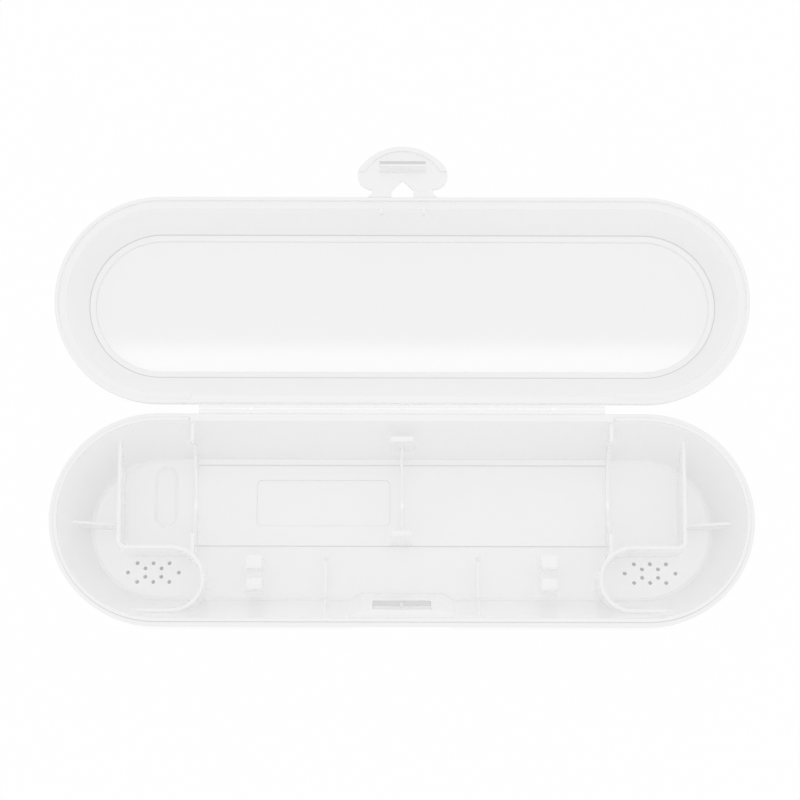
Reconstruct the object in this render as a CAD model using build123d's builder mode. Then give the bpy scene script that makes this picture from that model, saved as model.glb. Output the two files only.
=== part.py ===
from build123d import *
import os
from math import atan2, cos, degrees, radians, sin, tan

# Open travel case for an electric toothbrush, moulded as one piece of polypropylene.
# The origin is the centre of the base tray's underside: X along the case, Y from the catch
# towards the hinge, Z up. The lid lies open behind the tray with its rim level with the tray's.

# --- Case outline, shared by the tray and the lid ---
CASE_LENGTH = 220.0
CASE_WIDTH = 67.0
RIM_WIDTH = 2.5             # from the outer edge of the rim to the top of the inner wall
EDGE_BREAK = 0.3            # broken edge along rims and ribs

# --- Base tray ---
TRAY_DEPTH = 23.0           # rim plane down to the floor
TRAY_FLOOR = 1.6
TRAY_WALL = 1.6
TRAY_DRAFT = 20.7           # degrees, lean of the tray walls
FOOT_RADIUS = 2.5           # outside, round the underside
FLOOR_CORNER = 0.8          # inside, bevel where wall and floor meet
TRAY_FLANGE = 1.8           # height of the rim flange

# --- Tongue on the tray rim and the rebate that covers it ---
TONGUE_WIDTH = 1.1
TONGUE_HEIGHT = 1.2
TONGUE_CLEARANCE = 0.25
TONGUE_END_GAP = 3.0        # the tongue stops this far outside the hinge strip

# --- Lid ---
LID_DEPTH = 10.1            # rim plane to the foot of the lid wall
LID_WALL = 1.3
LID_DRAFT = 38.0            # degrees, lean of the lid walls
LID_FLANGE = 2.7
LID_CORNER = 0.6             # bevel between the wall and the panel border, inside and outside
PANEL_BORDER = 1.8          # flat band between the wall and the panel
PANEL_STEP = 0.6
PANEL_CROWN = 2.0           # rise of the domed panel

# --- Living hinge between tray and lid ---
HINGE_LENGTH = 127.4
HINGE_GAP = 3.2             # between the two rims when the lid lies open
FILM_THICKNESS = 0.6
FOLD_SLIT = 0.4             # width of the fold line, where the film is thinnest
CLOSING_GAP = 0.2           # between the rims when the lid is shut
NICK_SPACING = 94.8         # two round nicks in the fold line
NICK_RADIUS = 0.6

# --- Handle channel ---
HANDLE_DIAMETER = 28.0      # widest handle that the cradles take
HANDLE_FLOOR_GAP = 1.8      # cradle web under the handle
POST_SETBACK = 6.4          # rear post face in from the top of the rear wall
POST_THICKNESS = 1.8
REAR_POST_WIDTH = 7.3
FRONT_POST_WIDTH = 6.6
WEB_THICKNESS = 1.0
CHANNEL_RISE = 0.6          # channel floor above the floor of the front bay
RAIL_WIDTH = 1.5            # rail along the foot of the rear wall
RAIL_RISE = 0.6
FIELD_LENGTH = 42.6         # shallow bare field in the channel floor
FIELD_WIDTH = 14.8
FIELD_DEPTH = 0.2
FIELD_RADIUS = 1.6
FIELD_MARGIN = 3.2          # from the middle web to the field

# --- End cells, cradles and drained pockets ---
END_BAY = 21.2              # end divider in from the end of the case
RIB_THICKNESS = 1.2
DIVIDER_DROP = 6.0          # top of the dividers below the rim
CELL_LENGTH = 23.1          # end divider to handle cradle
CRADLE_THICKNESS = 1.1
CRADLE_BACK_DROP = 1.0
CRADLE_FRONT_DROP = 8.0
DIVIDER_CORNER = 2.2
POCKET_RADIUS = 9.95        # round end of the drained pocket
POCKET_STRAIGHT = 16.6
POCKET_GAP = 2.7            # channel edge to the pocket wall
END_RIB_Y = 0.5
END_RIB_THICKNESS = 0.9
END_RIB_WALL_DROP = 10.0
END_RIB_FOOT_DROP = 16.0
GRIP_LENGTH = 20.0          # finger dent in the floor of the left cell
GRIP_WIDTH = 7.5
GRIP_DEPTH = 0.9
GRIP_SLOPE = 45.0
GRIP_INSET = 9.65           # handle cradle to the middle of the dent

# --- Drain holes, laid out three, two, one each side, two, three ---
DRAIN_DIAMETER = 1.3
DRAIN_PITCH = 5.1
DRAIN_OUTER_ROW = 3.0
DRAIN_INNER_ROW = 1.35
DRAIN_END_PITCH = 8.1
DRAIN_INSET = 6.9           # pattern centre from the centre of the pocket's round end
DRAIN_SHIFT = 4.1

# --- Brush-head clips and rest ribs in the front bay ---
CLIP_SPACING = 92.8
CLIP_WIDTH = 5.0
CLIP_HEIGHT = 13.0
NECK_OFFSET = 10.25         # channel edge to the neck of the brush head
NECK_GAP = 4.8
CLIP_LIP = 0.95             # each lip closes the gap by this much
CLIP_SEAT = 4.0
CLIP_BACK = 3.55
CLIP_FRONT = 2.9
CLIP_LIP_HEIGHT = 1.6
CLIP_CHAMFER = 0.4
REST_SPACING = 48.4
REST_THICKNESS = 0.9
REST_HEIGHT = 4.0
REST_START = 3.5            # channel edge to the start of the rib
REST_RAMP = 2.0
REST_WALL_HEIGHT = 1.4      # rib proud of the front wall
REST_TOP_DROP = 4.0

# --- Latch seat in the front wall ---
SEAT_DEPTH = 1.9            # offset of the seat, square to the wall
SEAT_WIDTH = 25.0
SEAT_FLARE = 4.3            # each side slopes out by this much
SEAT_TOP_DROP = 3.2
SEAT_TOP_FLARE = 1.6
WINDOW_WIDTH = 18.3
WINDOW_TOP = 3.7            # down the wall from the rim
WINDOW_BOTTOM = 15.3
CATCH_LIP_HEIGHT = 1.0      # upstanding lip that the barb drops behind
CATCH_LIP_THICKNESS = 0.85
CATCH_HEIGHT = 2.5
CATCH_SETBACK = 0.4         # inner face of the catch bar behind the seat's inner face
STRUT_WIDTH = 0.9
STRUT_THICKNESS = 0.8

# --- Latch flap, flat as moulded ---
STRAP_LENGTH = 2.0          # lid rim to the fold line of the flap
STRAP_THICKNESS = 1.2
STRAP_INNER = 3.5           # from the middle of the flap to each strap
STRAP_OUTER = 9.8
STRAP_FLARE = 1.2
LATCH_SLIT = 0.3
FLAP_THICKNESS = 1.3
FLAP_LENGTH = 14.3
FLAP_LOBE_RADIUS = 4.5
FLAP_HEEL = 0.5             # fold line to the straight edge of the flap
NOTCH_DEPTH = 3.5
LIP_HEIGHT = 1.0            # raised crescent round the free edge
LIP_WIDTH = 1.4
LIP_INNER_RADIUS = 14.2
LIP_START = 6.2
GUSSET_SPACING = 13.5
GUSSET_THICKNESS = 0.95
GUSSET_REACH = 2.6
GUSSET_DROP = 0.3

# --- Latch hook ---
HOOK_WIDTH = 14.6
HOOK_HEEL = 5.9             # fold line to the near face of the hook
HOOK_THICKNESS = 1.2
HOOK_HEIGHT = 7.6
BARB_REACH = 0.75
BARB_HEIGHT = 0.85
HOOK_TIP = 0.6
HOOK_DRAFT = 0.15           # the near face leans back by this much
SNAP_CLEARANCE = 0.3
LATCH_CLOSED = 95.0         # degrees, turn of the flap when the case is latched
CORE_SLOT = 1.9             # moulding slot in the flap beyond the hook

# --- Sizes that follow ---
half_straight = (CASE_LENGTH - CASE_WIDTH) / 2
rim_radius = CASE_WIDTH / 2
inner_radius = rim_radius - RIM_WIDTH
rim_z = TRAY_FLOOR + TRAY_DEPTH
tray_lean = tan(radians(TRAY_DRAFT))
tray_skin = TRAY_WALL / cos(radians(TRAY_DRAFT))
floor_radius = inner_radius - TRAY_DEPTH * tray_lean

lid_y = CASE_WIDTH + HINGE_GAP
lid_lean = tan(radians(LID_DRAFT))
lid_skin = LID_WALL / cos(radians(LID_DRAFT))
hinge_y = rim_radius + HINGE_GAP / 2
hinge_z = rim_z + CLOSING_GAP / 2
latch_y = lid_y + rim_radius + STRAP_LENGTH

handle_radius = HANDLE_DIAMETER / 2
handle_y = inner_radius - POST_SETBACK - handle_radius
handle_z = TRAY_FLOOR + HANDLE_FLOOR_GAP + handle_radius
channel_y = handle_y - handle_radius - POST_THICKNESS
channel_z = TRAY_FLOOR + CHANNEL_RISE

divider_x = CASE_LENGTH / 2 - END_BAY
cradle_x = divider_x - CELL_LENGTH
pocket_x = divider_x - POCKET_STRAIGHT
pocket_y = channel_y - POCKET_GAP - POCKET_RADIUS
neck_y = channel_y - NECK_OFFSET

# The front wall has two frames with their origin at the top of the wall. In wall_face, y runs down
# the wall and z points into the tray. In wall_section, x runs down the wall and y into the tray.
wall_inward = Vector(0, cos(radians(TRAY_DRAFT)), sin(radians(TRAY_DRAFT)))
wall_down = Vector(0, sin(radians(TRAY_DRAFT)), -cos(radians(TRAY_DRAFT)))
wall_top = Vector(0, -inner_radius, rim_z)
wall_face = Plane(origin=wall_top, x_dir=(1, 0, 0), z_dir=wall_inward)
wall_section = Plane(origin=wall_top, x_dir=wall_down, z_dir=(1, 0, 0))
BEYOND = 10.0               # cutting bodies run this far past what they cut


def run_round(half_section, centre_y=0.0):
    """Carry a half section along both straight sides and round both ends of the case."""
    with BuildPart() as body:
        for side in (1, -1):
            end = Vector(side * half_straight, centre_y, 0)
            with BuildSketch(Plane(origin=end, x_dir=(0, -side, 0), z_dir=(-side, 0, 0))) as placed:
                add(half_section)
            extrude(amount=2 * half_straight)
            revolve(placed.sketch, axis=Axis(end, (0, 0, 1)), revolution_arc=180)
    return body.part


def corner_at(sketch, across, up):
    """The corner of a section nearest to a point."""
    return sketch.vertices().sort_by_distance((across, up, 0))[0]


def other_side(part):
    """The same member at the right-hand end of the case."""
    with BuildPart() as mirrored:
        add(part)
        mirror(about=Plane.YZ, mode=Mode.REPLACE)
    return mirrored.part


# --- Base tray ---


def tray_block():
    """Outside of the tray with its rim flange, filled in to the middle."""
    under_flange = rim_z - TRAY_FLANGE
    foot = floor_radius - TRAY_FLOOR * tray_lean + tray_skin
    with BuildSketch() as section:
        with BuildLine():
            Polyline(
                (0, 0),
                (foot, 0),
                (foot + under_flange * tray_lean, under_flange),
                (rim_radius, under_flange),
                (rim_radius, rim_z),
                (0, rim_z),
                close=True,
            )
        make_face()
        fillet(corner_at(section, foot, 0), FOOT_RADIUS)
        chamfer(section.vertices().group_by(Axis.X)[-1], EDGE_BREAK)
    return run_round(section.sketch)


def rim_tongue():
    """Raised tongue along the inner edge of the tray rim, left out behind the hinge strip."""
    with BuildSketch() as section:
        with Locations((inner_radius, rim_z - EDGE_BREAK)):
            Rectangle(TONGUE_WIDTH, TONGUE_HEIGHT + EDGE_BREAK, align=(Align.MIN, Align.MIN))
        chamfer(section.vertices().group_by(Axis.Y)[-1], EDGE_BREAK)
    ring = run_round(section.sketch)
    with BuildPart() as tongue:
        add(ring)
        with Locations((0, rim_radius, rim_z)):
            Box(HINGE_LENGTH + 2 * TONGUE_END_GAP, CASE_WIDTH, BEYOND, mode=Mode.SUBTRACT)
    return tongue.part


def tray_hollow():
    """Inside of the plain tray, open at the top."""
    with BuildSketch() as section:
        with BuildLine():
            Polyline(
                (0, TRAY_FLOOR),
                (floor_radius, TRAY_FLOOR),
                (inner_radius, rim_z),
                (inner_radius, rim_z + BEYOND),
                (0, rim_z + BEYOND),
                close=True,
            )
        make_face()
        chamfer(corner_at(section, floor_radius, TRAY_FLOOR), FLOOR_CORNER)
    return run_round(section.sketch)


def latch_seat():
    """Raised pad with sloping sides, which sets the front wall in behind the latch flap."""
    seat_bottom = TRAY_DEPTH + BEYOND
    with BuildPart() as seat:
        for level, flare in ((-SEAT_DEPTH, 2), (SEAT_DEPTH, 0)):
            top = SEAT_TOP_DROP - flare * SEAT_TOP_FLARE
            with BuildSketch(wall_face.offset(level)):
                with Locations((0, top)):
                    Rectangle(
                        SEAT_WIDTH + 2 * flare * SEAT_FLARE,
                        seat_bottom - top,
                        align=(Align.CENTER, Align.MIN),
                    )
        loft()
    return seat.part


def tray_space(seat):
    """Free space inside the tray: the members that stand in it are cut to this space."""
    channel_length = 2 * cradle_x - CRADLE_THICKNESS
    with BuildPart() as space:
        add(tray_hollow())
        add(seat, mode=Mode.SUBTRACT)
        for start_y, top in ((channel_y, channel_z), (floor_radius - RAIL_WIDTH, channel_z + RAIL_RISE)):
            with BuildSketch(Plane.XY):
                with Locations((0, start_y)):
                    Rectangle(channel_length, rim_radius - start_y, align=(Align.CENTER, Align.MIN))
            extrude(amount=top, mode=Mode.SUBTRACT)
    return space.part


def drain_places():
    """Centres of the drain holes in the left pocket, from the middle of their pattern."""
    outer = [(step * DRAIN_PITCH, side * DRAIN_OUTER_ROW) for side in (-1, 1) for step in (-1, 0, 1)]
    inner = [(step * DRAIN_PITCH, side * DRAIN_INNER_ROW) for side in (-1, 1) for step in (-0.5, 0.5)]
    ends = [(side * DRAIN_END_PITCH, 0) for side in (-1, 1)]
    return outer + inner + ends


def base_shell(space, seat):
    """The tray itself, with its drain holes, finger dent, latch seat and latch window."""
    field_x = -(WEB_THICKNESS / 2 + FIELD_MARGIN + FIELD_LENGTH / 2)
    with BuildPart() as shell:
        add(tray_block())
        add(rim_tongue())
        add(space, mode=Mode.SUBTRACT)
        with BuildPart(mode=Mode.PRIVATE) as recess:
            add(seat.moved(Location(-TRAY_WALL * wall_inward)))
            with Locations((0, 0, rim_z - TRAY_FLANGE)):
                Box(CASE_LENGTH, 2 * CASE_WIDTH, TRAY_DEPTH + BEYOND,
                    align=(Align.CENTER, Align.CENTER, Align.MAX), mode=Mode.INTERSECT)
        add(recess.part, mode=Mode.SUBTRACT)
        with BuildSketch(wall_face.offset(BEYOND)):
            with Locations((0, WINDOW_TOP)):
                Rectangle(WINDOW_WIDTH, WINDOW_BOTTOM - WINDOW_TOP, align=(Align.CENTER, Align.MIN))
        extrude(amount=-2 * BEYOND, mode=Mode.SUBTRACT)
        with BuildSketch(Plane.XY.offset(TRAY_FLOOR)):
            for side in (-1, 1):
                with Locations((side * (pocket_x + DRAIN_INSET), pocket_y + DRAIN_SHIFT)):
                    with Locations(*drain_places()):
                        Circle(DRAIN_DIAMETER / 2)
        extrude(amount=-TRAY_FLOOR, mode=Mode.SUBTRACT)
        with BuildSketch(Plane.XY.offset(TRAY_FLOOR)):
            with Locations((-(cradle_x + GRIP_INSET), handle_y)):
                SlotOverall(GRIP_LENGTH, GRIP_WIDTH, rotation=90)
        extrude(amount=-GRIP_DEPTH, taper=GRIP_SLOPE, mode=Mode.SUBTRACT)
        with BuildSketch(Plane.XY.offset(channel_z)):
            with Locations((field_x, (channel_y + floor_radius) / 2)):
                RectangleRounded(FIELD_LENGTH, FIELD_WIDTH, FIELD_RADIUS)
        extrude(amount=-FIELD_DEPTH, mode=Mode.SUBTRACT)
    return shell.part


# --- Members that stand in the tray ---


def end_divider(space):
    """Left divider: down from the rear wall, along the pocket, round its end and into the wall."""
    front_y = pocket_y - POCKET_RADIUS
    back_y = pocket_y + POCKET_RADIUS
    with BuildPart() as divider:
        with BuildSketch():
            with BuildLine():
                FilletPolyline(
                    (-divider_x, rim_radius),
                    (-divider_x, back_y),
                    (-pocket_x, back_y),
                    radius=DIVIDER_CORNER,
                )
                CenterArc((-pocket_x, pocket_y), POCKET_RADIUS, -90, 180)
                Line((-pocket_x, front_y), (-CASE_LENGTH / 2, front_y))
            trace(line_width=RIB_THICKNESS)
        extrude(amount=rim_z - DIVIDER_DROP)
        chamfer(divider.edges().group_by(Axis.Z)[-1], EDGE_BREAK)
        add(space, mode=Mode.INTERSECT)
    return divider.part


def end_rib(space):
    """Left end rib, from the end divider out to the end wall, rising towards the wall."""
    foot_x = divider_x + RIB_THICKNESS / 2
    tip_x = half_straight + inner_radius - END_RIB_WALL_DROP * tray_lean
    with BuildPart() as rib:
        with BuildSketch(Plane.XZ.offset(-END_RIB_Y)):
            with BuildLine():
                Polyline(
                    (-foot_x, 0),
                    (-foot_x, rim_z - END_RIB_FOOT_DROP),
                    (-tip_x, rim_z - END_RIB_WALL_DROP),
                    (-CASE_LENGTH / 2, rim_z - END_RIB_WALL_DROP),
                    (-CASE_LENGTH / 2, 0),
                    close=True,
                )
            make_face()
        extrude(amount=END_RIB_THICKNESS / 2, both=True)
        add(space, mode=Mode.INTERSECT)
    return rib.part


def handle_cradle(space):
    """Left cradle: a plate with a round seat for the handle, ending at the pocket wall."""
    back_top = rim_z - CRADLE_BACK_DROP
    front_top = rim_z - CRADLE_FRONT_DROP
    with BuildPart() as cradle:
        with BuildSketch(Plane.YZ.offset(-cradle_x)):
            with Locations((pocket_y, 0)):
                Rectangle(rim_radius - pocket_y, back_top, align=(Align.MIN, Align.MIN))
            with Locations((handle_y, handle_z)):
                Circle(handle_radius, mode=Mode.SUBTRACT)
                Rectangle(HANDLE_DIAMETER, TRAY_DEPTH, align=(Align.CENTER, Align.MIN),
                          mode=Mode.SUBTRACT)
            with Locations((handle_y, front_top)):
                Rectangle(CASE_WIDTH, TRAY_DEPTH, align=(Align.MAX, Align.MIN), mode=Mode.SUBTRACT)
        extrude(amount=CRADLE_THICKNESS / 2, both=True)
        with BuildSketch():
            with Locations((-pocket_x, pocket_y)):
                Circle(POCKET_RADIUS + RIB_THICKNESS / 2)
        extrude(amount=rim_z, mode=Mode.SUBTRACT)
        add(space, mode=Mode.INTERSECT)
    return cradle.part


def centre_cradle(space):
    """Middle cradle: a thin web under the handle between two upright posts."""
    rear_face = handle_y + handle_radius
    front_face = handle_y - handle_radius
    with BuildPart() as cradle:
        with BuildSketch(Plane.YZ):
            with Locations((front_face, 0)):
                Rectangle(HANDLE_DIAMETER, handle_z, align=(Align.MIN, Align.MIN))
            with Locations((handle_y, handle_z)):
                Circle(handle_radius, mode=Mode.SUBTRACT)
        extrude(amount=WEB_THICKNESS / 2, both=True)
        with BuildSketch():
            with Locations((0, rear_face)):
                Rectangle(REAR_POST_WIDTH, POST_THICKNESS, align=(Align.CENTER, Align.MIN))
            with Locations((0, front_face)):
                Rectangle(FRONT_POST_WIDTH, POST_THICKNESS, align=(Align.CENTER, Align.MAX))
        extrude(amount=rim_z)
        chamfer(cradle.edges().group_by(Axis.Z)[-1], EDGE_BREAK)
        add(space, mode=Mode.INTERSECT)
    return cradle.part


def head_clip(space):
    """Left clip for the neck of a brush head: two fingers with lips over a round seat."""
    top = TRAY_FLOOR + CLIP_HEIGHT
    lip_bottom = top - CLIP_LIP_HEIGHT
    seat_z = TRAY_FLOOR + CLIP_SEAT + NECK_GAP / 2
    mouth = NECK_GAP - 2 * CLIP_LIP
    with BuildPart() as clip:
        with BuildSketch(Plane.YZ.offset(-CLIP_SPACING / 2)) as section:
            with Locations((neck_y - NECK_GAP / 2 - CLIP_FRONT, 0)):
                Rectangle(CLIP_FRONT + NECK_GAP + CLIP_BACK, top, align=(Align.MIN, Align.MIN))
            with Locations((neck_y, seat_z)):
                Circle(NECK_GAP / 2, mode=Mode.SUBTRACT)
                Rectangle(NECK_GAP, lip_bottom - seat_z, align=(Align.CENTER, Align.MIN),
                          mode=Mode.SUBTRACT)
                Rectangle(mouth, CLIP_HEIGHT, align=(Align.CENTER, Align.MIN), mode=Mode.SUBTRACT)
            chamfer(section.vertices().group_by(Axis.Y)[-1], CLIP_CHAMFER)
        extrude(amount=CLIP_WIDTH / 2, both=True)
        add(space, mode=Mode.INTERSECT)
    return clip.part


def rest_rib(space):
    """Left rest rib: low along the floor of the front bay, then up the front wall."""
    start_y = channel_y - REST_START
    low = TRAY_FLOOR + REST_HEIGHT
    high = rim_z - REST_TOP_DROP
    proud = REST_WALL_HEIGHT / cos(radians(TRAY_DRAFT))
    low_y = -inner_radius + (rim_z - low) * tray_lean + proud
    high_y = -inner_radius + (rim_z - high) * tray_lean + proud
    with BuildPart() as rib:
        with BuildSketch(Plane.YZ.offset(-REST_SPACING / 2)):
            with BuildLine():
                Polyline(
                    (start_y, 0),
                    (start_y, TRAY_FLOOR),
                    (start_y - REST_RAMP, low),
                    (low_y, low),
                    (high_y, high),
                    (-rim_radius, high),
                    (-rim_radius, 0),
                    close=True,
                )
            make_face()
        extrude(amount=REST_THICKNESS / 2, both=True)
        add(space, mode=Mode.INTERSECT)
    return rib.part


# --- Catch in the latch window ---


def latched_at(reach, height):
    """Where a point of the flap lies in wall_section when the case is shut and latched.

    reach runs from the fold line along the flap, height stands up from its inner face."""
    turn = radians(LATCH_CLOSED - 90)
    fold = Vector(0, 2 * hinge_y - latch_y, 2 * hinge_z - rim_z)
    along = Vector(0, sin(turn), -cos(turn))
    inward = Vector(0, cos(turn), sin(turn))
    offset = fold + along * reach + inward * height - wall_top
    return offset.dot(wall_down), offset.dot(wall_inward)


def catch_bar():
    """Bar across the latch window with an upstanding lip, and a strut down from its middle."""
    stem_far_side = HOOK_HEEL + HOOK_THICKNESS
    barb_foot = HOOK_HEIGHT - BARB_HEIGHT
    lip_top = latched_at(stem_far_side, barb_foot)[0] + SNAP_CLEARANCE
    lip_inner = latched_at(stem_far_side + BARB_REACH, barb_foot)[1] - SNAP_CLEARANCE
    lip_outer = lip_inner - CATCH_LIP_THICKNESS
    bar_inner = SEAT_DEPTH - CATCH_SETBACK
    bar_bottom = lip_top + CATCH_HEIGHT
    with BuildPart() as bar:
        with BuildSketch(wall_section):
            with BuildLine():
                Polyline(
                    (lip_top, lip_outer),
                    (lip_top, lip_inner),
                    (lip_top + CATCH_LIP_HEIGHT, lip_inner),
                    (lip_top + CATCH_LIP_HEIGHT, bar_inner),
                    (bar_bottom, bar_inner),
                    (bar_bottom, SEAT_DEPTH - TRAY_WALL),
                    (bar_bottom - CATCH_LIP_HEIGHT, lip_outer),
                    close=True,
                )
            make_face()
        extrude(amount=WINDOW_WIDTH / 2, both=True)
        with BuildSketch(wall_section):
            with Locations((bar_bottom, bar_inner)):
                Rectangle(WINDOW_BOTTOM - bar_bottom, STRUT_THICKNESS, align=(Align.MIN, Align.MAX))
        extrude(amount=STRUT_WIDTH / 2, both=True)
    return bar.part


# --- Lid, lying open ---


def lid_block():
    """Outside of the lid with its rim flange, filled in to the middle."""
    foot_z = rim_z - LID_DEPTH - LID_WALL
    foot = inner_radius - (LID_DEPTH + LID_WALL) * lid_lean + lid_skin
    under_flange = rim_z - LID_FLANGE
    neck = inner_radius - LID_FLANGE * lid_lean + lid_skin
    panel = inner_radius - LID_DEPTH * lid_lean - PANEL_BORDER + LID_WALL
    with BuildSketch() as section:
        with BuildLine():
            Polyline(
                (panel, foot_z - PANEL_STEP),
                (panel, foot_z),
                (foot, foot_z),
                (neck, under_flange),
                (rim_radius, under_flange),
                (rim_radius, rim_z),
                (0, rim_z),
                (0, foot_z - PANEL_STEP - PANEL_CROWN),
            )
            TangentArc(
                (0, foot_z - PANEL_STEP - PANEL_CROWN),
                (panel, foot_z - PANEL_STEP),
                tangent=(1, 0),
            )
        make_face()
        chamfer(section.vertices().group_by(Axis.X)[-1], EDGE_BREAK)
        chamfer(corner_at(section, foot, foot_z), LID_CORNER)
        chamfer(corner_at(section, panel, foot_z - PANEL_STEP), EDGE_BREAK)
    return run_round(section.sketch, lid_y)


def lid_hollow():
    """Inside of the lid, open at the top."""
    foot_z = rim_z - LID_DEPTH
    foot = inner_radius - LID_DEPTH * lid_lean
    panel = foot - PANEL_BORDER
    with BuildSketch() as section:
        with BuildLine():
            Polyline(
                (panel, foot_z - PANEL_STEP),
                (panel, foot_z),
                (foot, foot_z),
                (inner_radius, rim_z),
                (inner_radius, rim_z + BEYOND),
                (0, rim_z + BEYOND),
                (0, foot_z - PANEL_STEP - PANEL_CROWN),
            )
            TangentArc(
                (0, foot_z - PANEL_STEP - PANEL_CROWN),
                (panel, foot_z - PANEL_STEP),
                tangent=(1, 0),
            )
        make_face()
        chamfer(corner_at(section, foot, foot_z), LID_CORNER)
        chamfer(corner_at(section, panel, foot_z), EDGE_BREAK)
    return run_round(section.sketch, lid_y)


def rebate_ring():
    """Room for the tray's tongue in the lid rim, left solid beside the hinge strip."""
    reach = TONGUE_WIDTH + TONGUE_CLEARANCE
    depth = TONGUE_HEIGHT + TONGUE_CLEARANCE
    with BuildSketch() as section:
        with Locations((inner_radius - reach, rim_z - depth)):
            Rectangle(2 * reach, depth + BEYOND, align=(Align.MIN, Align.MIN))
    ring = run_round(section.sketch, lid_y)
    solid_length = HINGE_LENGTH + 2 * (TONGUE_END_GAP - TONGUE_CLEARANCE)
    with BuildPart() as rebate:
        add(ring)
        with Locations((0, hinge_y, rim_z)):
            Box(solid_length, CASE_WIDTH, 2 * (depth + BEYOND), mode=Mode.SUBTRACT)
    return rebate.part


def lid_shell(hollow):
    """Shallow lid with a domed panel inside a flat border."""
    with BuildPart() as shell:
        add(lid_block())
        add(hollow, mode=Mode.SUBTRACT)
        add(rebate_ring(), mode=Mode.SUBTRACT)
    return shell.part


def lid_gusset(hollow):
    """Left gusset inside the lid wall, behind the latch strap."""
    outer_y = lid_y + inner_radius - GUSSET_DROP
    top = rim_z - GUSSET_DROP
    with BuildPart() as gusset:
        with BuildSketch(Plane.XY.offset(top)):
            with Locations((-GUSSET_SPACING / 2, outer_y)):
                Rectangle(GUSSET_THICKNESS, GUSSET_REACH, align=(Align.CENTER, Align.MAX))
        extrude(amount=-LID_DEPTH)
        add(hollow, mode=Mode.INTERSECT)
    return gusset.part


# --- Living hinge strip ---


def hinge_leaf(near_y):
    """Half of the hinge strip, from a rim to the fold line, with two nicks in its folding edge."""
    width = HINGE_GAP / 2 - FOLD_SLIT / 2
    start_y = near_y if near_y < hinge_y else near_y - width
    with BuildPart() as leaf:
        with BuildSketch(Plane.XY.offset(rim_z)):
            with Locations((0, start_y)):
                Rectangle(HINGE_LENGTH, width, align=(Align.CENTER, Align.MIN))
            with Locations((0, hinge_y)):
                with GridLocations(NICK_SPACING, 1, 2, 1):
                    Circle(NICK_RADIUS, mode=Mode.SUBTRACT)
        extrude(amount=-FILM_THICKNESS)
    return leaf.part


# --- Latch, flat as moulded ---


def latch_strap():
    """Left strap on the lid rim, which carries half of the flap's fold line."""
    rim_y = lid_y + rim_radius
    fold_y = latch_y - LATCH_SLIT / 2
    with BuildPart() as strap:
        with BuildSketch(Plane.XY.offset(rim_z)):
            with BuildLine():
                Polyline(
                    (-STRAP_INNER, rim_y),
                    (-STRAP_OUTER - STRAP_FLARE, rim_y),
                    (-STRAP_OUTER, rim_y + STRAP_FLARE),
                    (-STRAP_OUTER, fold_y),
                    (-STRAP_INNER, fold_y),
                    close=True,
                )
            make_face()
        extrude(amount=-STRAP_THICKNESS)
    return strap.part


def latch_flap():
    """Mushroom-shaped flap with a notch between the straps and a raised crescent to grip."""
    lobe_y = FLAP_HEEL + FLAP_LOBE_RADIUS
    span = FLAP_LENGTH - lobe_y
    top_radius = (STRAP_OUTER**2 + span**2 - FLAP_LOBE_RADIUS**2) / (2 * (span - FLAP_LOBE_RADIUS))
    top_y = FLAP_LENGTH - top_radius
    join = degrees(atan2(lobe_y - top_y, STRAP_OUTER))
    far_side = HOOK_HEEL + HOOK_THICKNESS
    flap_plane = Plane(origin=(0, latch_y, rim_z))
    with BuildSketch() as outline:
        with BuildLine():
            CenterArc((0, top_y), top_radius, join, 90 - join)
            CenterArc((STRAP_OUTER, lobe_y), FLAP_LOBE_RADIUS, -90, 90 + join)
            Polyline(
                (STRAP_OUTER, FLAP_HEEL),
                (STRAP_OUTER, LATCH_SLIT / 2),
                (STRAP_INNER, LATCH_SLIT / 2),
                (0, NOTCH_DEPTH),
                (0, FLAP_LENGTH),
            )
        make_face()
        mirror(about=Plane.YZ)
    with BuildPart() as flap:
        with BuildSketch(flap_plane):
            add(outline.sketch)
        extrude(amount=-FLAP_THICKNESS)
        with BuildSketch(flap_plane):
            add(outline.sketch)
            with Locations((0, FLAP_LENGTH - LIP_WIDTH - LIP_INNER_RADIUS)):
                Circle(LIP_INNER_RADIUS, mode=Mode.SUBTRACT)
            with Locations((0, LIP_START)):
                Rectangle(CASE_WIDTH, CASE_WIDTH, align=(Align.CENTER, Align.MAX), mode=Mode.SUBTRACT)
        extrude(amount=LIP_HEIGHT)
        with BuildSketch(flap_plane):
            with Locations((0, far_side)):
                Rectangle(HOOK_WIDTH, CORE_SLOT, align=(Align.CENTER, Align.MIN))
        extrude(amount=-FLAP_THICKNESS, mode=Mode.SUBTRACT)
    return flap.part


def latch_hook():
    """Snap hook on the inner face of the flap, with a barb on the side away from the fold."""
    far_side = HOOK_HEEL + HOOK_THICKNESS
    barb_foot = HOOK_HEIGHT - BARB_HEIGHT
    near_top = HOOK_HEEL + HOOK_DRAFT
    with BuildPart() as hook:
        with BuildSketch(Plane(origin=(0, latch_y, rim_z), x_dir=(0, 1, 0), z_dir=(1, 0, 0))):
            with BuildLine():
                Polyline(
                    (HOOK_HEEL, 0),
                    (far_side, 0),
                    (far_side, barb_foot),
                    (far_side + BARB_REACH, barb_foot),
                    (near_top + HOOK_TIP, HOOK_HEIGHT),
                    (near_top, HOOK_HEIGHT),
                    close=True,
                )
            make_face()
        extrude(amount=HOOK_WIDTH / 2, both=True)
    return hook.part


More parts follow.
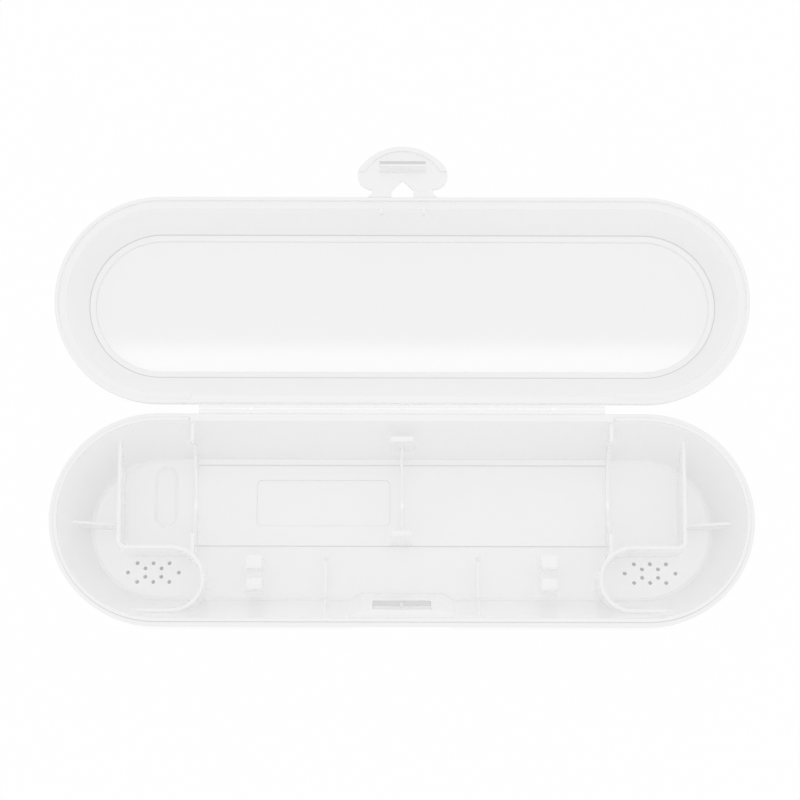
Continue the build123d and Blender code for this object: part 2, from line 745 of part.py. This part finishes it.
seat = latch_seat()
space = tray_space(seat)
hollow = lid_hollow()
middle_pieces = {
    "base_shell": base_shell(space, seat),
    "centre_handle_cradle": centre_cradle(space),
    "latch_catch_bar": catch_bar(),
    "hinge_leaf_base": hinge_leaf(rim_radius),
    "hinge_leaf_lid": hinge_leaf(lid_y - rim_radius),
    "lid_shell": lid_shell(hollow),
    "latch_flap": latch_flap(),
    "latch_hook": latch_hook(),
}
handed_pieces = {
    "end_divider": end_divider(space),
    "end_rib": end_rib(space),
    "handle_cradle": handle_cradle(space),
    "head_clip": head_clip(space),
    "rest_rib": rest_rib(space),
    "lid_gusset": lid_gusset(hollow),
    "latch_strap": latch_strap(),
}

pieces = dict(middle_pieces)
for name, piece in handed_pieces.items():
    pieces["left_" + name] = piece
    pieces["right_" + name] = other_side(piece)

os.makedirs("parts", exist_ok=True)
for name, piece in pieces.items():
    piece.label = name
    export_step(piece, f"parts/{name}.step")
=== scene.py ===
"""Looks of a frosted travel case for an electric toothbrush: materials, folding films and studio."""

from math import cos, radians, sin

import bmesh
import bpy
from bpy.props import FloatProperty, FloatVectorProperty, PointerProperty, StringProperty
from mathutils import Matrix, Vector


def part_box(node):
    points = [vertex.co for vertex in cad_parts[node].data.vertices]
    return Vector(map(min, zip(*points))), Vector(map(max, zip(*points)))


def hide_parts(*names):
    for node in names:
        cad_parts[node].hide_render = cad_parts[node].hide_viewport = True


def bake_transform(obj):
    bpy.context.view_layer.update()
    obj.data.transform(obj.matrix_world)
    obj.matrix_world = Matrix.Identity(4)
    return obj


bl_info = {
    "name": "Toothbrush travel case",
    "version": (1, 0, 0),
    "blender": (4, 5, 0),
    "location": "3D View > Sidebar > Travel case",
    "description": "Dresses the moulded travel case and sets up its studio",
    "category": "Object",
}

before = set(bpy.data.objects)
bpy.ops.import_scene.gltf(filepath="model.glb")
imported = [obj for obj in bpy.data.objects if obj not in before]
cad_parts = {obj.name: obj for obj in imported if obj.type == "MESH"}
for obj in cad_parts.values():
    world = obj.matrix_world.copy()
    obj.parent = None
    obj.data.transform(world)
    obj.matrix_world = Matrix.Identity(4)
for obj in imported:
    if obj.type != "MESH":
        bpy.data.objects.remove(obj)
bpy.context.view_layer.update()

MM = 0.001

# --- Polypropylene ---
POLYPROPYLENE_IOR = 1.49
CLOUD_SIZE = 30 * MM             # stretches in which the melt cooled alike
PIT_SIZE = 0.5 * MM              # real pits are about 0.1 mm wide, too fine to show
PIT_DEPTH = 0.02 * MM
GLOSS_SPREAD = 0.03              # how far the pits move the roughness either way
CORNER_RAYS = 8                  # rays that look for an inner corner
EDGE_RAYS = 6                    # rays that look for an edge to round

# --- Sill of the latch window, where shade is painted ---
SILL_SETBACK = 0.4 * MM          # its middle in front of the back of the catch bar
SILL_RISE = 0.15 * MM            # and above the underside of the bar
SILL_HALF_DEPTH = 0.85 * MM
SILL_HALF_HEIGHT = 0.42 * MM

# --- Painted shade line between the walls and the border of the lid, and fades of the painted shade ---
PANEL_FADE = 1.0 * MM            # height above the line in which the corners lose their painted shade
LINE_CORE = 0.05 * MM            # from the middle of the line to where it starts to fade
LINE_EDGE = 0.11 * MM            # and to where it ends
BARB_FADE_DEPTH = 0.2 * MM
BARB_FADE_HEIGHT = 0.1 * MM

# --- Films ---
FILM_NODES = ("hinge_leaf_base", "hinge_leaf_lid")
FILM_CELL = 0.2 * MM             # side of a mesh cell of the hinge film
LATCH_FILM_CELLS = (24, 12)      # along the fold of a latch film and across it

# --- Studio ---
FLOOR_SEGMENTS = 96
SHADE_RAYS = 16                  # rays that look for the case above the floor
SENSOR_WIDTH = 36.0
CLIP_RANGE = (0.05, 20.0)        # nearest and farthest that the camera sees, in metres
WHITE = (1, 1, 1, 1)


# --- Small helpers ---


def linear(code):
    """A linear RGBA colour from an sRGB hex code such as F4F5F5."""
    channels = [int(code[i:i + 2], 16) / 255 for i in (0, 2, 4)]
    return [c / 12.92 if c <= 0.04045 else ((c + 0.055) / 1.055) ** 2.4 for c in channels] + [1.0]


def add_node(tree, kind, feeds=(), **settings):
    """Add a node. A setting named after a socket sets it, any other is an attribute of the node.
    feeds are pairs of an output or a plain value and the name or index of the input it feeds."""
    node = tree.nodes.new(kind)
    for key, value in settings.items():
        name = key.replace("_", " ")
        socket = next((s for s in node.inputs if s.name.lower() == name.lower()), None)
        if socket is None:
            setattr(node, key, value)
        else:
            socket.default_value = value
    for source, target in feeds:
        if isinstance(source, bpy.types.NodeSocket):
            tree.links.new(source, node.inputs[target])
        else:
            node.inputs[target].default_value = source
    return node


def new_material(name):
    """A node material with nothing in it yet, and its tree."""
    material = bpy.data.materials.new(name)
    material.use_nodes = True
    material.node_tree.nodes.clear()
    return material, material.node_tree


def finished_object(name, mesh_builder, material):
    """An object at the origin from a bmesh and its material."""
    mesh = bpy.data.meshes.new(name)
    mesh_builder.to_mesh(mesh)
    mesh_builder.free()
    mesh.materials.append(material)
    piece = bpy.data.objects.new(name, mesh)
    bpy.context.scene.collection.objects.link(piece)
    return piece


# --- Where shade is painted: 0 is darkest and 1 leaves the plastic as it is ---


def corner_openness(tree, settings):
    """0 in the inner corners of one moulding, where shade is painted, and 1 where it is open."""
    corner = add_node(tree, "ShaderNodeAmbientOcclusion", samples=CORNER_RAYS, only_local=True,
                      distance=settings.crease_reach)
    share = add_node(tree, "ShaderNodeMapRange", [(corner.outputs["AO"], "Value")],
                     from_min=settings.crease_full, from_max=settings.crease_none)
    return share.outputs["Result"]


def tray_openness(tree, settings):
    """As corner_openness, with painted shade on the sill of the latch window, where the bar's shade falls.
    """
    low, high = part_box("latch_catch_bar")
    middle = Vector((0, high.y - SILL_SETBACK, low.z + SILL_RISE))
    reach = (high.x, SILL_HALF_DEPTH, SILL_HALF_HEIGHT)
    place = add_node(tree, "ShaderNodeTexCoord").outputs["Object"]
    from_middle = add_node(tree, "ShaderNodeVectorMath", [(place, 0), (middle, 1)], operation="SUBTRACT")
    away = add_node(tree, "ShaderNodeVectorMath", [(from_middle.outputs["Vector"], 0)],
                    operation="ABSOLUTE")
    sides = add_node(tree, "ShaderNodeSeparateXYZ", [(away.outputs["Vector"], "Vector")])
    outside = settings.sill_shade
    for axis, limit in zip("XYZ", reach):
        beyond = add_node(tree, "ShaderNodeMath", [(sides.outputs[axis], 0), (limit, 1)],
                          operation="GREATER_THAN")
        either = add_node(tree, "ShaderNodeMath", [(outside, 0), (beyond.outputs["Value"], 1)],
                          operation="MAXIMUM")
        outside = either.outputs["Value"]
    both = add_node(tree, "ShaderNodeMath", [(corner_openness(tree, settings), 0), (outside, 1)],
                    operation="MINIMUM")
    return both.outputs["Value"]


def bar_openness(tree, settings):
    """As corner_openness, with painted shade all over, for the shade of the front wall that falls on the
    bar.
    """
    painted_bar_shade = add_node(tree, "ShaderNodeMath",
                    [(corner_openness(tree, settings), 0), (settings.bar_shade, 1)], operation="MULTIPLY")
    return painted_bar_shade.outputs["Value"]


def lid_openness(tree, settings):
    """As corner_openness, but only round the lid's panel, with a painted shade line where its walls begin.
    """
    place = add_node(tree, "ShaderNodeTexCoord").outputs["Object"]
    height = add_node(tree, "ShaderNodeSeparateXYZ", [(place, "Vector")]).outputs["Z"]
    above = add_node(tree, "ShaderNodeMapRange", [(height, "Value")],
                     from_min=settings.panel_line, from_max=settings.panel_line + PANEL_FADE)
    round_panel = add_node(tree, "ShaderNodeMath",
                           [(corner_openness(tree, settings), 0), (above.outputs["Result"], 1)],
                           operation="MAXIMUM")
    off = add_node(tree, "ShaderNodeMath", [(height, 0), (settings.panel_line, 1)], operation="SUBTRACT")
    away = add_node(tree, "ShaderNodeMath", [(off.outputs["Value"], 0)], operation="ABSOLUTE")
    beside = add_node(tree, "ShaderNodeMapRange", [(away.outputs["Value"], "Value")],
                      from_min=LINE_CORE, from_max=LINE_EDGE)
    both = add_node(tree, "ShaderNodeMath",
                    [(round_panel.outputs["Value"], 0), (beside.outputs["Result"], 1)],
                    operation="MINIMUM")
    return both.outputs["Value"]


def barb_openness(tree, settings):
    """0 on the slope of the hook's barb, where shade is painted, and 1 elsewhere."""
    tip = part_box("latch_hook")[1]
    back = tip.y - settings.barb_shade
    foot = tip.z - settings.barb_shade
    place = add_node(tree, "ShaderNodeTexCoord").outputs["Object"]
    parts = add_node(tree, "ShaderNodeSeparateXYZ", [(place, "Vector")])
    before = add_node(tree, "ShaderNodeMapRange", [(parts.outputs["Y"], "Value")],
                      from_min=back, from_max=back - BARB_FADE_DEPTH)
    below = add_node(tree, "ShaderNodeMapRange", [(parts.outputs["Z"], "Value")],
                     from_min=foot, from_max=foot - BARB_FADE_HEIGHT)
    either = add_node(tree, "ShaderNodeMath", [(before.outputs["Result"], 0), (below.outputs["Result"], 1)],
                      operation="MAXIMUM")
    return either.outputs["Value"]


# --- Materials ---


def frosted_polypropylene(name, settings, openness=None, seen_through=None, roughness=None,
                          bleached_hex=None):
    """Unpigmented polypropylene homopolymer, injection moulded in a finely pitted tool.

    It gives the eye a milky white body, a soft gloss that the pitting breaks up, and shadows that
    stay faint because light goes on through every wall. openness(tree, settings) says where shade
    is painted into the colour as thin dark lines, seen_through(tree) what share of the things behind
    a thin film shows through it, and bleached_hex is the one colour of plastic that has been folded white."""
    material, tree = new_material(name)
    place = add_node(tree, "ShaderNodeTexCoord").outputs["Object"]
    # Pitting of the tool, drawn about five times as coarse as it is so that it shows.
    pits = add_node(tree, "ShaderNodeTexNoise", [(place, "Vector")], scale=1 / PIT_SIZE,
                    detail=1.0, roughness=0.6)
    if bleached_hex is None:
        # Slow cloudiness where the melt flowed and cooled unevenly.
        clouds = add_node(tree, "ShaderNodeTexNoise", [(place, "Vector")], scale=1 / CLOUD_SIZE,
                          detail=2.0, roughness=0.5)
        shaded, clear = linear(settings.shaded_hex), linear(settings.body_hex)
        cloudy = add_node(tree, "ShaderNodeMix", [(clouds.outputs["Fac"], "Factor"), (shaded, "A"),
                                                  (clear, "B")], data_type="RGBA")
        colour = cloudy.outputs["Result"]
    else:
        colour = linear(bleached_hex)
    if openness is not None:
        # Painted shade: the corner colour is mixed in where the openness is low, drawing thin dark lines.
        dark = linear(settings.corner_shade_hex)
        painted_corners = add_node(tree, "ShaderNodeMix", [(openness(tree, settings), "Factor"), (dark, "A"),
                                                 (colour, "B")], data_type="RGBA")
        colour = painted_corners.outputs["Result"]
    middle = settings.roughness if roughness is None else roughness
    gloss = add_node(tree, "ShaderNodeMapRange", [(pits.outputs["Fac"], "Value")],
                     to_min=middle - GLOSS_SPREAD, to_max=middle + GLOSS_SPREAD)
    surface = [(pits.outputs["Fac"], "Height")]
    if seen_through is None:
        # A film is too thin for rounded edges.
        rounded = add_node(tree, "ShaderNodeBevel", samples=EDGE_RAYS, radius=settings.edge_round)
        surface.append((rounded.outputs["Normal"], "Normal"))
    relief = add_node(tree, "ShaderNodeBump", surface, strength=settings.grain, distance=PIT_DEPTH)
    body = add_node(tree, "ShaderNodeBsdfPrincipled",
                    [(colour, "Base Color"), (gloss.outputs["Result"], "Roughness"),
                     (relief.outputs["Normal"], "Normal")], ior=POLYPROPYLENE_IOR)
    # Part of the light goes on through the wall, so the plastic casts only a faint shadow in itself.
    path = add_node(tree, "ShaderNodeLightPath")
    lighting = add_node(tree, "ShaderNodeMath", [(path.outputs["Is Shadow Ray"], 0),
                                                 (path.outputs["Is Diffuse Ray"], 1)],
                        operation="MAXIMUM")
    passing = [(lighting.outputs["Value"], "Value")]
    if seen_through is not None:
        passing.append((seen_through(tree), "To Min"))
    share = add_node(tree, "ShaderNodeMapRange", passing, to_max=settings.clearness)
    onward = add_node(tree, "ShaderNodeBsdfTransparent", color=WHITE)
    mixed = add_node(tree, "ShaderNodeMixShader", [(share.outputs["Result"], 0), (body.outputs["BSDF"], 1),
                                                   (onward.outputs["BSDF"], 2)])
    add_node(tree, "ShaderNodeOutputMaterial", [(mixed.outputs["Shader"], "Surface")])
    return material


def whitened_film(scene, fold_y):
    """Polypropylene film drawn out by its first folding. It is thin enough for the pale table
    to show through it, most of all along the fold line at fold_y, so the fold reads bright."""
    film = scene.case_film

    def seen_through(tree):
        """Share of the table seen, which falls from the fold line to the edge of the groove."""
        place = add_node(tree, "ShaderNodeTexCoord").outputs["Object"]
        y = add_node(tree, "ShaderNodeSeparateXYZ", [(place, "Vector")]).outputs["Y"]
        off = add_node(tree, "ShaderNodeMath", [(y, 0), (fold_y, 1)], operation="SUBTRACT")
        away = add_node(tree, "ShaderNodeMath", [(off.outputs["Value"], 0)], operation="ABSOLUTE")
        share = add_node(tree, "ShaderNodeMapRange", [(away.outputs["Value"], "Value")],
                         from_max=film.groove, to_min=film.fold_clear, to_max=film.clear)
        return share.outputs["Result"]

    return frosted_polypropylene("stress-whitened polypropylene film", scene.case_moulding,
                                 seen_through=seen_through)


def matt_white_paint(settings):
    """Matt white paint on the floor, which shows white and without gloss to the camera, with a painted
    contact shadow where the case stands on it; its small diffuse share shows the real shadow."""
    material, tree = new_material("matt white paint")
    paint = add_node(tree, "ShaderNodeBsdfDiffuse", color=linear(settings.floor_hex))
    # Painted contact shadow: the white's strength falls where the occlusion node finds the case close by.
    gap = add_node(tree, "ShaderNodeAmbientOcclusion", samples=SHADE_RAYS,
                   distance=settings.shade_reach)
    bright = add_node(tree, "ShaderNodeMapRange", [(gap.outputs["AO"], "Value")], to_min=settings.shade)
    white = add_node(tree, "ShaderNodeEmission", [(bright.outputs["Result"], "Strength")], color=WHITE)
    path = add_node(tree, "ShaderNodeLightPath")
    share = add_node(tree, "ShaderNodeMath",
                     [(path.outputs["Is Camera Ray"], 0), (settings.floor_glow, 1)], operation="MULTIPLY")
    mixed = add_node(tree, "ShaderNodeMixShader", [(share.outputs["Value"], 0), (paint.outputs["BSDF"], 1),
                                                   (white.outputs["Emission"], 2)])
    add_node(tree, "ShaderNodeOutputMaterial", [(mixed.outputs["Shader"], "Surface")])
    return material


# --- Settings ---


class CaseMouldingSettings(bpy.types.PropertyGroup):
    """Finish of the moulded polypropylene, with the shade that is painted into it."""

    body_hex: StringProperty(name="Body colour", description="Colour of the clear stretches, sRGB hex",
                             default="F8F8F8")
    shaded_hex: StringProperty(name="Cloud colour", description="Colour of the cloudy stretches, sRGB hex",
                               default="F6F6F6")
    roughness: FloatProperty(name="Roughness", description="Roughness of the tray and all that stands in it",
                             default=0.08, min=0.05, max=1.0, subtype="FACTOR")
    lid_roughness: FloatProperty(name="Lid roughness", description="Roughness of the lid, a little duller",
                                 default=0.14, min=0.05, max=1.0, subtype="FACTOR")
    grain: FloatProperty(name="Grain", description="Strength of the fine pitting",
                         default=0.05, min=0.0, max=1.0, subtype="FACTOR")
    edge_round: FloatProperty(name="Edge rounding", description="Radius that the moulded edges show",
                              default=0.1 * MM, unit="LENGTH", precision=5)
    clearness: FloatProperty(name="Clearness", description="Share of the light that goes on through a face",
                             default=0.85, min=0.0, max=1.0, subtype="FACTOR")
    # Painted shade in the inner corners: its colour, and how far and how strongly it reaches.
    corner_shade_hex: StringProperty(name="Corner colour", description="Colour in the inner corners, sRGB hex",
                               default="D8D8D8")
    crease_reach: FloatProperty(name="Corner reach", description="Width of the dark line in an inner corner",
                                default=0.6 * MM, unit="LENGTH", precision=5)
    crease_full: FloatProperty(name="Corner full", description="Openness at which a corner is darkest",
                               default=0.5, min=0.0, max=1.0, subtype="FACTOR")
    crease_none: FloatProperty(name="Corner none", description="Openness above which nothing darkens",
                               default=0.8, min=0.0, max=1.0, subtype="FACTOR")
    # Painted shade line round the lid's panel, at this height.
    panel_line: FloatProperty(name="Panel line", description="Height at which the lid's walls begin",
                              default=14.89 * MM, unit="LENGTH", precision=5)
    # Painted shade on the sill of the latch window, on the catch bar and on the slope of the hook's barb.
    sill_shade: FloatProperty(name="Sill shade", description="Openness of the sill of the latch window",
                              default=0.25, min=0.0, max=1.0, subtype="FACTOR")
    bar_shade: FloatProperty(name="Bar shade", description="Openness of the catch bar in the window",
                             default=0.72, min=0.0, max=1.0, subtype="FACTOR")
    barb_shade: FloatProperty(name="Barb shade", description="Length of the dark end of the hook",
                              default=1.1 * MM, unit="LENGTH", precision=5)


class CaseFilmSettings(bpy.types.PropertyGroup):
    """Sizes and finish of the folding films."""

    waist: FloatProperty(name="Waist", description="Thickness of the hinge film on its fold line",
                         default=0.25 * MM, unit="LENGTH", precision=5)
    groove: FloatProperty(name="Groove", description="Half width of the thin groove along the fold line",
                          default=0.35 * MM, unit="LENGTH", precision=5)
    nick: FloatProperty(name="Nick", description="Radius of the two round nicks in the fold line",
                        default=0.6 * MM, unit="LENGTH", precision=5)
    nick_spacing: FloatProperty(name="Nick spacing", description="Between the middles of the two nicks",
                                default=94.8 * MM, unit="LENGTH", precision=5)
    clear: FloatProperty(name="Film clearness", description="Share of the table seen through the film",
                         default=0.55, min=0.0, max=1.0, subtype="FACTOR")
    fold_clear: FloatProperty(name="Fold clearness", description="Share of the table seen at its fold line",
                              default=0.95, min=0.0, max=1.0, subtype="FACTOR")
    latch_film: FloatProperty(name="Latch film", description="Thickness of the two films of the latch",
                              default=0.4 * MM, unit="LENGTH", precision=5)
    latch_film_width: FloatProperty(name="Latch film width", description="Width of each film of the latch",
                                    default=6.3 * MM, unit="LENGTH", precision=5)
    latch_sink: FloatProperty(name="Latch sink", description="Top of the latch films below the flap's face",
                              default=0.02 * MM, unit="LENGTH", precision=5)
    fold_hex: StringProperty(name="Fold colour", description="Colour of the latch films, sRGB hex",
                             default="FFFFFF")


class CaseStudioSettings(bpy.types.PropertyGroup):
    """Floor, light and camera."""

    floor_hex: StringProperty(name="Floor colour", description="Colour of the floor's paint, sRGB hex",
                              default="FAFAFA")
    floor_radius: FloatProperty(name="Floor radius", description="Radius of the round floor",
                                default=3.0, unit="LENGTH")
    floor_glow: FloatProperty(name="Floor glow", description="Share of the floor that shows plain white",
                              default=0.95, min=0.0, max=1.0, subtype="FACTOR")
    shade: FloatProperty(name="Contact shade", description="Brightness of the floor right under the case",
                         default=0.35, min=0.0, max=1.0, subtype="FACTOR")
    shade_reach: FloatProperty(name="Shade reach", description="How far from the case the floor darkens",
                               default=8 * MM, unit="LENGTH", precision=4)
    sky: FloatProperty(name="Sky", description="Strength of the even light from all round",
                       default=0.96, min=0.0, max=3.0)
    softbox: FloatProperty(name="Softbox", description="Power of the softbox above and behind",
                           default=1.9, min=0.0, max=100.0, subtype="POWER")
    softbox_width: FloatProperty(name="Softbox width", description="Size of the softbox along the case",
                                 default=0.9, unit="LENGTH")
    softbox_depth: FloatProperty(name="Softbox depth", description="Size of the softbox across the case",
                                 default=0.3, unit="LENGTH")
    softbox_distance: FloatProperty(name="Softbox distance", description="From the softbox to its aim",
                                    default=1.2, unit="LENGTH")
    softbox_lean: FloatProperty(name="Softbox lean", description="Angle of the softbox behind the vertical",
                                default=radians(33), subtype="ANGLE")
    softbox_aim: FloatVectorProperty(name="Softbox aim", description="Point by the hinge that it faces",
                                     default=(0.0, 35 * MM, 20 * MM), subtype="TRANSLATION", precision=4)
    lens: FloatProperty(name="Lens", description="Focal length on a 36 mm sensor, in mm",
                        default=128.43, min=10.0, max=400.0)
    target: FloatVectorProperty(name="Target", description="Point that the camera looks at",
                                default=(-0.665 * MM, 37.832 * MM, 24.6 * MM), subtype="TRANSLATION",
                                precision=5)
    distance: FloatProperty(name="Distance", description="Camera to the point it looks at",
                            default=0.89597, unit="LENGTH", precision=4)
    tilt: FloatProperty(name="Tilt", description="Tilt of the camera from straight down",
                        default=radians(11.0724), subtype="ANGLE")
    roll: FloatProperty(name="Roll", description="Turn of the camera about its own axis",
                        default=radians(0.121), subtype="ANGLE")


# --- Pieces ---


class CASE_OT_mouldings(bpy.types.Operator):
    """Give the tray, the lid, the latch and all that stands in them their moulded finish"""

    bl_idname = "travel_case.mouldings"
    bl_label = "Mouldings"

    def execute(self, context):
        settings = context.scene.case_moulding
        # Ribs, dividers, cradles and clips: milky and glossy, with a painted shade line in each inner
        # corner.
        wall = frosted_polypropylene("moulded polypropylene wall", settings, corner_openness)
        # The tray is the same, with painted shade on the sill of its latch window under the catch bar.
        tray = frosted_polypropylene("moulded polypropylene tray", settings, tray_openness)
        # The lid is a little duller, with clean walls and a painted shade line round its panel.
        lid = frosted_polypropylene("moulded polypropylene lid", settings, lid_openness,
                                    roughness=settings.lid_roughness)
        # Flap, straps and gussets are too thin for dark corners and stay evenly milky.
        thin = frosted_polypropylene("thin moulded polypropylene", settings)
        # The hook stands on end, and painted shade makes its barb read as one grey line.
        hook = frosted_polypropylene("moulded polypropylene hook", settings, barb_openness)
        # The catch bar lies in its window, greyed by painted shade of the front wall.
        bar = frosted_polypropylene("moulded polypropylene bar", settings, bar_openness)
        own = {"base_shell": tray, "lid_shell": lid, "latch_hook": hook, "latch_catch_bar": bar}
        for name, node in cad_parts.items():
            usual = thin if name.endswith(("flap", "strap", "gusset")) else wall
            node.data.materials.clear()
            node.data.materials.append(own.get(name, usual))
        return {"FINISHED"}


class CASE_OT_hinge_film(bpy.types.Operator):
    """Make the living hinge as one film between tray and lid that thins to a waist on its fold line"""

    bl_idname = "travel_case.hinge_film"
    bl_label = "Hinge film"

    def execute(self, context):
        settings = context.scene.case_film
        near, far = (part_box(name) for name in FILM_NODES)
        start = Vector((0, near[0].y, near[1].z))
        end = Vector((0, far[1].y, near[1].z))
        fold_y = (start.y + end.y) / 2
        half = (end.y - start.y) / 2
        length = near[1].x - near[0].x
        film = bmesh.new()
        bmesh.ops.create_grid(film, x_segments=round(length / FILM_CELL), size=1.0,
                              y_segments=round(2 * half / FILM_CELL))
        bmesh.ops.scale(film, vec=(length / 2, half, 1), verts=film.verts)
        bmesh.ops.translate(film, vec=(0, fold_y, start.z), verts=film.verts)
        for side in (-1, 1):
            self.cut_nick(film, Vector((side * settings.nick_spacing / 2, fold_y, start.z)), settings.nick)
        # The underside drops to the leaves' thickness, and to the waist on the fold line.
        raised = bmesh.ops.extrude_face_region(film, geom=film.faces[:])["geom"]
        thick = near[1].z - near[0].z
        for vertex in set(film.verts) - set(raised):
            off = min(1.0, abs(vertex.co.y - fold_y) / settings.groove)
            vertex.co.z -= settings.waist + (thick - settings.waist) * off ** 2
        bmesh.ops.recalc_face_normals(film, faces=film.faces[:])
        piece = finished_object("hinge_film", film, whitened_film(context.scene, fold_y))
        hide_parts(*FILM_NODES)
        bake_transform(piece)
        return {"FINISHED"}

    def cut_nick(self, film, middle, radius):
        """Open a round nick in a flat film and draw its ragged edge out to a circle."""
        inside = [f for f in film.faces if (f.calc_center_median() - middle).length < radius]
        bmesh.ops.delete(film, geom=inside, context="FACES")
        for vertex in film.verts:
            away = vertex.co - middle
            if vertex.is_boundary and away.length < 2 * radius:
                vertex.co = middle + away.normalized() * radius


class CASE_OT_latch_films(bpy.types.Operator):
    """Make the two thin films on which the latch flap folds out of its straps"""

    bl_idname = "travel_case.latch_films"
    bl_label = "Latch films"

    def execute(self, context):
        settings = context.scene.case_film
        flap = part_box("latch_flap")
        # Folding has bleached the plastic, so the fold reads as a white line in the milky flap.
        material = frosted_polypropylene("stress-whitened polypropylene fold",
                                         context.scene.case_moulding, bleached_hex=settings.fold_hex)
        for side in ("left", "right"):
            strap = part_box(side + "_latch_strap")
            inner = min(abs(strap[0].x), abs(strap[1].x))
            outer = inner + settings.latch_film_width
            middle_x = (inner + outer) / 2 * (-1 if side == "left" else 1)
            start = Vector((middle_x, strap[1].y, strap[1].z))
            end = Vector((middle_x, flap[0].y, strap[1].z))
            film = bmesh.new()
            along, across = LATCH_FILM_CELLS
            bmesh.ops.create_grid(film, x_segments=along, y_segments=across, size=1.0)
            size = (outer - inner) / 2, (end.y - start.y) / 2, 1
            bmesh.ops.scale(film, vec=size, verts=film.verts)
            bmesh.ops.translate(film, vec=(start + end) / 2, verts=film.verts)
            bmesh.ops.translate(film, vec=(0, 0, -settings.latch_sink), verts=film.verts)
            raised = bmesh.ops.extrude_face_region(film, geom=film.faces[:])["geom"]
            lower = list(set(film.verts) - set(raised))
            bmesh.ops.translate(film, vec=(0, 0, -settings.latch_film), verts=lower)
            bmesh.ops.recalc_face_normals(film, faces=film.faces[:])
            piece = finished_object(side + "_latch_film", film, material)
            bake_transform(piece)
        return {"FINISHED"}


class CASE_OT_stage(bpy.types.Operator):
    """Set up the floor, the light and the camera"""

    bl_idname = "travel_case.stage"
    bl_label = "Studio"

    def execute(self, context):
        scene = context.scene
        settings = scene.case_studio
        scene.view_settings.view_transform = "Standard"
        self.make_floor(settings)
        self.make_sky(scene, settings)
        self.make_softbox(scene, settings)
        self.make_camera(scene, settings)
        return {"FINISHED"}

    def make_floor(self, settings):
        """Round white floor under the case."""
        disc = bmesh.new()
        bmesh.ops.create_circle(disc, cap_ends=True, segments=FLOOR_SEGMENTS,
                                radius=settings.floor_radius)
        finished_object("studio_floor", disc, matt_white_paint(settings))

    def make_sky(self, scene, settings):
        """Even light from all round, white where it is seen."""
        world = bpy.data.worlds.new("studio")
        world.use_nodes = True
        scene.world = world
        tree = world.node_tree
        tree.nodes.clear()
        path = add_node(tree, "ShaderNodeLightPath")
        light = add_node(tree, "ShaderNodeBackground", color=WHITE, strength=settings.sky)
        seen = add_node(tree, "ShaderNodeBackground", color=WHITE, strength=1.0)
        mixed = add_node(tree, "ShaderNodeMixShader",
                         [(path.outputs["Is Camera Ray"], 0), (light.outputs["Background"], 1),
                          (seen.outputs["Background"], 2)])
        add_node(tree, "ShaderNodeOutputWorld", [(mixed.outputs["Shader"], "Surface")])

    def make_softbox(self, scene, settings):
        """A strip softbox high behind the case, seen only as a sheen in its smooth surfaces."""
        light = bpy.data.lights.new("softbox", "AREA")
        light.shape = "RECTANGLE"
        light.size = settings.softbox_width
        light.size_y = settings.softbox_depth
        light.energy = settings.softbox
        lamp = bpy.data.objects.new("softbox", light)
        lamp.visible_diffuse = False
        scene.collection.objects.link(lamp)
        aim = Vector(settings.softbox_aim)
        lean = settings.softbox_lean
        lamp.location = aim + Vector((0, sin(lean), cos(lean))) * settings.softbox_distance
        lamp.rotation_euler = (aim - lamp.location).to_track_quat("-Z", "Y").to_euler()

    def make_camera(self, scene, settings):
        """Camera nearly overhead, leaning from the front of the case."""
        data = bpy.data.cameras.new("camera")
        data.sensor_width = SENSOR_WIDTH
        data.lens = settings.lens
        data.clip_start, data.clip_end = CLIP_RANGE
        camera = bpy.data.objects.new("camera", data)
        scene.collection.objects.link(camera)
        turn = Matrix.Rotation(settings.tilt, 4, "X") @ Matrix.Rotation(settings.roll, 4, "Z")
        back = Matrix.Translation((0, 0, settings.distance))
        camera.matrix_world = Matrix.Translation(settings.target) @ turn @ back
        scene.camera = camera


class CASE_PT_panel(bpy.types.Panel):
    """Travel case tools"""

    bl_idname = "CASE_PT_panel"
    bl_label = "Travel case"
    bl_space_type = "VIEW_3D"
    bl_region_type = "UI"
    bl_category = "Travel case"

    def draw(self, context):
        for heading, group, operators in PANEL_ROWS:
            box = self.layout.box()
            box.label(text=heading)
            settings = getattr(context.scene, group)
            for key in settings.__annotations__:
                box.prop(settings, key)
            for operator in operators:
                box.operator(operator.bl_idname)


# --- Registering and running ---

PANEL_ROWS = (
    ("Mouldings", "case_moulding", (CASE_OT_mouldings,)),
    ("Films", "case_film", (CASE_OT_hinge_film, CASE_OT_latch_films)),
    ("Studio", "case_studio", (CASE_OT_stage,)),
)
SETTINGS = {
    "case_moulding": CaseMouldingSettings,
    "case_film": CaseFilmSettings,
    "case_studio": CaseStudioSettings,
}
CLASSES = (*SETTINGS.values(), CASE_OT_mouldings, CASE_OT_hinge_film, CASE_OT_latch_films,
           CASE_OT_stage, CASE_PT_panel)


def register():
    """Register the classes and give every scene their settings."""
    for cls in CLASSES:
        bpy.utils.register_class(cls)
    for name, group in SETTINGS.items():
        setattr(bpy.types.Scene, name, PointerProperty(type=group))


def unregister():
    """Take the settings and the classes away again."""
    for name in SETTINGS:
        delattr(bpy.types.Scene, name)
    for cls in reversed(CLASSES):
        bpy.utils.unregister_class(cls)


def main():
    """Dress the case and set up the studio."""
    register()
    bpy.ops.travel_case.mouldings()
    bpy.ops.travel_case.hinge_film()
    bpy.ops.travel_case.latch_films()
    bpy.ops.travel_case.stage()


if __name__ == "__main__":
    main()
